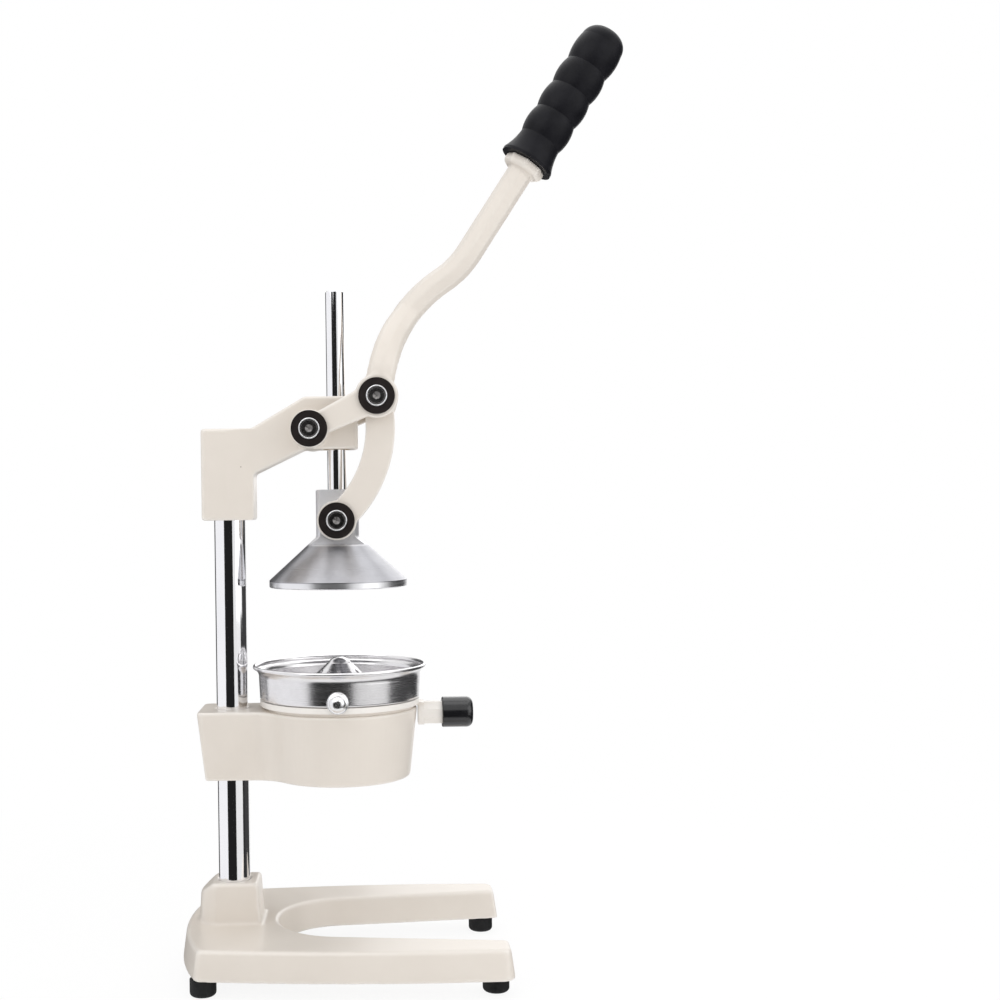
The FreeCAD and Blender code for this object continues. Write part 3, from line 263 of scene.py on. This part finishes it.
def enamel(name, low, high, edge_highlight_colour, speck):
    """Baked enamel on a casting: soft tone, orange peel, a painted highlight on the sharp edges
    and a few specks.
    """
    mat, tree, shader, coords = new_material(name)
    drift = noise(tree, coords, ENAMEL_TONE_SCALE, TONE_DETAIL)
    peel = noise(tree, coords, ENAMEL_PEEL_SCALE, FINE_DETAIL)
    cast = noise(tree, coords, ENAMEL_CAST_SCALE, CAST_DETAIL)
    colour = colour_between(tree, drift, low, high)
    # Painted highlight: the sharpest edges, found by pointiness, are lightened towards a paler
    # cream, in place of light caught on the rounded edges.
    pointiness = tree.nodes.new("ShaderNodeNewGeometry").outputs["Pointiness"]
    edge_highlight = value_between(tree, pointiness, 0.0, EDGE_HIGHLIGHT, *EDGE_POINTINESS)
    colour = blend_colour(tree, edge_highlight, colour, edge_highlight_colour)
    spots = tree.nodes.new("ShaderNodeTexVoronoi")
    spots.inputs["Scale"].default_value = SPECK_SCALE
    tree.links.new(coords.outputs["Object"], spots.inputs["Vector"])
    near = value_between(tree, spots.outputs["Distance"], 1.0, 0.0, *SPECK_RADIUS)
    patches = noise(tree, coords, SPECK_PATCH_SCALE, 0.0)
    chosen = value_between(tree, patches, 0.0, 1.0, *SPECK_PATCH_EDGE)
    pit = combine(tree, "MULTIPLY", near, chosen)
    colour = blend_colour(tree, pit, colour, speck)
    tree.links.new(colour, shader.inputs["Base Color"])
    tree.links.new(value_between(tree, drift, *ENAMEL_ROUGHNESS), shader.inputs["Roughness"])
    bump(tree, shader, [
        (peel, ENAMEL_BUMP, FINE_RELIEF),
        (cast, ENAMEL_BUMP, CAST_RELIEF),
        (value_between(tree, pit, 1.0, 0.0, 0.0, 1.0), SPECK_BUMP, FINE_RELIEF),
    ])
    shader.inputs["Coat Weight"].default_value = ENAMEL_COAT
    shader.inputs["Coat Roughness"].default_value = ENAMEL_COAT_ROUGHNESS
    return mat


# The press's materials: two tones, a range of roughness, and 1.0 for a metal

# The third colour is the painted highlight laid on the cream's sharp edges.
CREAM = enamel("cream_enamel", (0.752, 0.692, 0.624), (0.790, 0.730, 0.662),
               edge_highlight_colour=(0.90, 0.87, 0.83), speck=(0.30, 0.24, 0.18))
CHROME = finished("chrome", (0.89, 0.89, 0.91), (0.95, 0.95, 0.96), (0.04, 0.09), 1.0,
                  tone_scale=25, peel_scale=900, peel=0.015, stretch=(1, 1, 0.05))
RING_CHROME = finished("ring_chrome", (0.90, 0.90, 0.91), (0.97, 0.97, 0.98), (0.22, 0.32), 1.0,
                       tone_scale=300, peel_scale=2500, peel=0.04)
STUD_CHROME = finished("stud_chrome", (0.82, 0.82, 0.83), (0.92, 0.92, 0.93), (0.20, 0.30), 1.0,
                       tone_scale=300, peel_scale=2500, peel=0.04)
ALUMINIUM = turned_metal("polished_aluminium", (0.34, 0.34, 0.36), (0.43, 0.43, 0.455),
                         (0.26, 0.38), polished=((0.2588, 0.283), (0.88, 0.88, 0.90), 0.2))
STEEL = turned_metal("stainless", (0.76, 0.75, 0.76), (0.86, 0.85, 0.86), (0.20, 0.29),
                     pitch=3000, strength=0.12)
ZINC = finished("zinc_steel", (0.48, 0.49, 0.50), (0.60, 0.60, 0.61), (0.30, 0.45), 1.0,
                tone_scale=300)
RUBBER = finished("black_rubber", (0.006, 0.006, 0.007), (0.013, 0.013, 0.014), (0.55, 0.75),
                  tone_scale=200, peel_scale=2500, peel=0.3, gloss=0.3)
GRIP_RUBBER = finished("grip_rubber", (0.006, 0.006, 0.008), (0.012, 0.012, 0.015), (0.34, 0.46),
                       tone_scale=90, peel_scale=2200, peel=0.18, gloss=0.11)
VINYL = finished("black_vinyl", (0.006, 0.006, 0.007), (0.012, 0.012, 0.014), (0.16, 0.28),
                 tone_scale=120, peel_scale=1200, peel=0.08, cast_scale=150, coat=0.3)
OXIDE = finished("black_oxide", (0.009, 0.006, 0.006), (0.017, 0.012, 0.011), (0.32, 0.5),
                 tone_scale=220, peel_scale=1800, peel=0.2, gloss=0.25)
BRONZE = turned_metal("bronze", (0.50, 0.33, 0.16), (0.62, 0.42, 0.20), (0.25, 0.4))
PIN_END = finished("pin_steel", (0.12, 0.115, 0.115), (0.22, 0.21, 0.205), (0.16, 0.28), 1.0,
                   tone_scale=400, peel_scale=2500, peel=0.15)

FINISH = {
    CREAM: ("base", "carrier", "funnel", "head", "lever", "link_left", "link_right"),
    CHROME: ("column", "push_rod"),
    STUD_CHROME: ("cup_stud",),
    ALUMINIUM: ("press_cone",),
    STEEL: ("strainer_cup", "reamer"),
    ZINC: ("foot_screws", "column_washer", "column_bolt", "carrier_set_screw", "head_set_screw"),
    RUBBER: ("foot_front_left", "foot_front_right", "foot_rear_left", "foot_rear_right"),
    GRIP_RUBBER: ("grip",),
    VINYL: ("handle_cap",),
    OXIDE: ("pivot_discs_a", "pivot_discs_b", "pivot_discs_c"),
    BRONZE: ("guide_bush",),
    PIN_END: ("pivot_pin_a", "pivot_pin_b", "pivot_pin_c"),
}


def dress(node, mat):
    obj = NODES[node]
    if not obj.material_slots:
        obj.data.materials.append(mat)
    for slot in obj.material_slots:
        slot.material = mat


# Skin size in metres and rounds of smoothing, which turn a node's crisp corners into cast ones

SOFTENED = {
    "base": (0.0010, 12),
    "carrier": (0.0008, 10),
    "lever": (0.0008, 12),
    "link_left": (0.0007, 6),
    "link_right": (0.0007, 6),
}
RELAX_FACTOR = 0.5


def add_skin(obj, size):
    remesh = obj.modifiers.new("casting_skin", "REMESH")
    remesh.mode = "VOXEL"
    remesh.voxel_size = size
    remesh.use_smooth_shade = True


def add_relax(obj, rounds):
    relax = obj.modifiers.new("casting_relax", "SMOOTH")
    relax.factor = RELAX_FACTOR
    relax.iterations = rounds


def take_place(piece, body, node):
    """The piece rides on a body and replaces a node."""
    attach(piece, body)
    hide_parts(node)


def stand_in(node, name, mat):
    """A new piece on the stand with a copy of a node's mesh, which takes the node's place."""
    piece = add_object(name, NODES[node].data.copy())
    piece.data.materials.clear()
    piece.data.materials.append(mat)
    take_place(piece, "stand", node)
    return piece


# The head's block, in metres: where its sides start to draw in, where they meet the arm, where
# the arm goes on as it is, and the half widths of block and arm

BLOCK_DRAW_START = -0.076
BLOCK_DRAW_END = -0.0553
BLOCK_REGION_END = -0.045
BLOCK_HALF = 0.0160
ARM_HALF = 0.0135
HEAD_SKIN = 0.0008
HEAD_ROUNDS = 11


def make_head_casting():
    """The head with the sides of its block flowing into the arm."""
    piece = stand_in("head", "head_casting", CREAM)
    add_skin(piece, HEAD_SKIN)
    bpy.context.view_layer.update()
    graph = bpy.context.evaluated_depsgraph_get()
    skin = bpy.data.meshes.new_from_object(piece.evaluated_get(graph))
    piece.modifiers.clear()
    piece.data = skin
    for vertex in skin.vertices:
        x, y = vertex.co.x, vertex.co.y
        if x > BLOCK_REGION_END:
            continue
        share = (x - BLOCK_DRAW_START) / (BLOCK_DRAW_END - BLOCK_DRAW_START)
        share = min(1, max(0, share))
        eased = share * share * (3 - 2 * share)
        limit = BLOCK_HALF + (ARM_HALF - BLOCK_HALF) * eased
        if abs(y) > limit:
            vertex.co.y = math.copysign(limit, y)
    add_relax(piece, HEAD_ROUNDS)


# The radius in metres of the wire in a pivot's bright rings, and how finely it is drawn

WIRE_RADIUS = 0.00052
WIRE_AROUND = 96
WIRE_SECTION = 16


def wire_loops(mesh, centre, radius, side, face):
    """The wire's cross sections, one after the other round its ring."""
    loops = []
    for step in range(WIRE_AROUND):
        turn = 2 * math.pi * step / WIRE_AROUND
        loop = []
        for corner in range(WIRE_SECTION):
            angle = 2 * math.pi * corner / WIRE_SECTION
            reach = radius + WIRE_RADIUS * math.cos(angle)
            x = centre[0] + reach * math.cos(turn)
            y = face - side * WIRE_RADIUS * (1 + math.sin(angle))
            z = centre[1] + reach * math.sin(turn)
            loop.append(mesh.verts.new((x, y, z)))
        loops.append(loop)
    return loops


def make_wire_rings(node, name, body):
    """Two round wire rings that lie on the pivot's discs, one a side."""
    low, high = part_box(node)
    centre = ((low[0] + high[0]) / 2, (low[2] + high[2]) / 2)
    radius = (high[0] - low[0]) / 2 - WIRE_RADIUS
    mesh = bmesh.new()
    for side, face in ((-1, low[1]), (1, high[1])):
        loops = wire_loops(mesh, centre, radius, side, face)
        for step, loop in enumerate(loops):
            after = loops[(step + 1) % WIRE_AROUND]
            for corner in range(WIRE_SECTION):
                beside = (corner + 1) % WIRE_SECTION
                quad = (loop[corner], loop[beside], after[beside], after[corner])
                mesh.faces.new(quad).smooth = True
    bmesh.ops.recalc_face_normals(mesh, faces=mesh.faces)
    data = bpy.data.meshes.new(name)
    mesh.to_mesh(data)
    mesh.free()
    data.materials.append(RING_CHROME)
    take_place(add_object(name, data), body, node)


GRUB_SHIFT = 0.0032         # how far a set screw's outer end goes in, in metres


def make_grub_screw(node, name):
    """The set screw run in until its outer end lies just below the casting's face."""
    piece = stand_in(node, name, ZINC)
    low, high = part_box(node)
    middle = (low[0] + high[0]) / 2
    for vertex in piece.data.vertices:
        if vertex.co.x < middle:
            vertex.co.x += GRUB_SHIFT


# Floor

WHITE = (1, 1, 1, 1)
FLOOR_HALF = 1.5            # half the floor's width, in metres
FLOOR_DROP = 0.0002         # how far it lies under the feet, so that no two faces coincide
FLOOR_TONE = (0.97, 0.97, 0.97, 1)
FLOOR_ROUGHNESS = 0.6
FLOOR_WHITE = 0.9           # how much of its white is its own near the press; the rest is lit
FLOOR_FADE = (0.25, 0.6)    # from and to, in metres from the press: further out all is its own


def emission(tree, colour):
    glow = tree.nodes.new("ShaderNodeEmission")
    glow.inputs["Color"].default_value = colour
    return glow.outputs["Emission"]


def make_floor():
    """White as the backdrop, with the press's soft shadow on it. Reflections leave it out."""
    mesh = bpy.data.meshes.new("floor")
    signs = ((-1, -1), (1, -1), (1, 1), (-1, 1))
    corners = [(x * FLOOR_HALF, y * FLOOR_HALF, 0) for x, y in signs]
    mesh.from_pydata(corners, [], [(0, 1, 2, 3)])
    floor = add_object("floor", mesh)
    floor.location.z = -FLOOR_DROP
    mat, tree, shader, coords = new_material("floor_white")
    shader.inputs["Base Color"].default_value = FLOOR_TONE
    shader.inputs["Roughness"].default_value = FLOOR_ROUGHNESS
    camera_ray = tree.nodes.new("ShaderNodeLightPath").outputs["Is Camera Ray"]
    reach = vector_length(tree, coords.outputs["Object"])
    own = value_between(tree, reach, FLOOR_WHITE, 1.0, *FLOOR_FADE)
    mix = tree.nodes.new("ShaderNodeMixShader")
    tree.links.new(combine(tree, "MULTIPLY", camera_ray, own), mix.inputs["Fac"])
    tree.links.new(shader.outputs["BSDF"], mix.inputs[1])
    tree.links.new(emission(tree, WHITE), mix.inputs[2])
    tree.links.new(mix.outputs["Shader"], tree.nodes["Material Output"].inputs["Surface"])
    mesh.materials.append(mat)
    floor.visible_glossy = False


# Studio panels round the press, which only reflections show. Each has a name, where it starts
# and ends, in degrees from the camera's side with positive to the right, the height of its top
# in metres, and its brightness. White shows between them and over them.

PANELS = (
    ("panel_front", -42, 41.5, 0.95, 0.015),
    ("panel_left", -128, -42, 1.5, 0.95),
    ("panel_right", 41.5, 92, 0.05, 0.03),
    ("panel_rear_left", -180, -130, 1.5, 0.08),
    ("panel_rear_right", 92, 150, 1.5, 0.05),
)
PANEL_DISTANCE = 2.4        # from the press axis, in metres
PANEL_BOTTOM = -1.6         # in metres
PANEL_STEP = 4              # a panel's facets are about this wide, in degrees
PANEL_BLUE = 1.02           # blue over red and green


def make_panel(name, start, end, top, level):
    steps = max(2, round((end - start) / PANEL_STEP))
    mesh = bmesh.new()
    last = None
    for index in range(steps + 1):
        turn = math.radians(start + (end - start) * index / steps)
        x, y = PANEL_DISTANCE * math.sin(turn), -PANEL_DISTANCE * math.cos(turn)
        pair = [mesh.verts.new((x, y, z)) for z in (PANEL_BOTTOM, top)]
        if last:
            mesh.faces.new((last[0], pair[0], pair[1], last[1]))
        last = pair
    data = bpy.data.meshes.new(name)
    mesh.to_mesh(data)
    mesh.free()
    panel = add_object(name, data)
    mat, tree, _, _ = new_material(name)
    glow = emission(tree, (level, level, level * PANEL_BLUE, 1))
    tree.links.new(glow, tree.nodes["Material Output"].inputs["Surface"])
    data.materials.append(mat)
    panel.visible_camera = False
    panel.visible_diffuse = False
    panel.visible_transmission = False
    panel.visible_shadow = False


# World and lamps

SOFT_LIGHT = 0.62


def make_world():
    """White to the camera, to metal and to glass, and a plain soft light on everything else."""
    world = bpy.data.worlds.new("studio")
    bpy.context.scene.world = world
    world.use_nodes = True
    tree = world.node_tree
    tree.nodes.clear()
    out = tree.nodes.new("ShaderNodeOutputWorld")
    path = tree.nodes.new("ShaderNodeLightPath")
    soft = tree.nodes.new("ShaderNodeBackground")
    soft.inputs["Color"].default_value = WHITE
    soft.inputs["Strength"].default_value = SOFT_LIGHT
    white = tree.nodes.new("ShaderNodeBackground")
    white.inputs["Color"].default_value = WHITE
    share = path.outputs["Is Camera Ray"]
    for ray in ("Is Glossy Ray", "Is Transmission Ray"):
        share = combine(tree, "MAXIMUM", share, path.outputs[ray])
    mix = tree.nodes.new("ShaderNodeMixShader")
    tree.links.new(share, mix.inputs["Fac"])
    tree.links.new(soft.outputs["Background"], mix.inputs[1])
    tree.links.new(white.outputs["Background"], mix.inputs[2])
    tree.links.new(mix.outputs["Shader"], out.inputs["Surface"])


# Soft boxes: name, place, width and height in metres, and power in watts. All face one point.

SOFT_BOXES = (
    ("key", (-0.9, -1.4, 1.5), 1.7, 1.7, 9),
    ("fill", (1.3, -1.2, 0.5), 1.9, 2.1, 10.5),
    ("top", (0.1, 0.2, 1.9), 2.0, 2.0, 12),
    ("rim", (0.6, 1.6, 1.0), 1.4, 1.4, 5),
)
SOFT_BOX_AIM = (0, 0, 0.3)


def make_soft_box(name, place, width, height, power):
    data = bpy.data.lights.new(name, "AREA")
    data.shape = "RECTANGLE"
    data.size = width
    data.size_y = height
    data.energy = power
    light = add_object(name, data)
    light.location = place
    direction = Vector(SOFT_BOX_AIM) - Vector(place)
    light.rotation_euler = direction.to_track_quat("-Z", "Y").to_euler()


bpy.context.scene.view_settings.view_transform = "Standard"
make_camera()
make_floor()
make_world()
for panel in PANELS:
    make_panel(*panel)
for box in SOFT_BOXES:
    make_soft_box(*box)
for mat, names in FINISH.items():
    for node_name in names:
        dress(node_name, mat)
for node_name, (size, rounds) in SOFTENED.items():
    add_skin(NODES[node_name], size)
    add_relax(NODES[node_name], rounds)
make_head_casting()
make_wire_rings("pivot_rings_a", "pivot_wires_a", "stand")
make_wire_rings("pivot_rings_b", "pivot_wires_b", "lever_arm")
make_wire_rings("pivot_rings_c", "pivot_wires_c", "press")
make_grub_screw("head_set_screw", "head_grub_screw")
make_grub_screw("carrier_set_screw", "carrier_grub_screw")
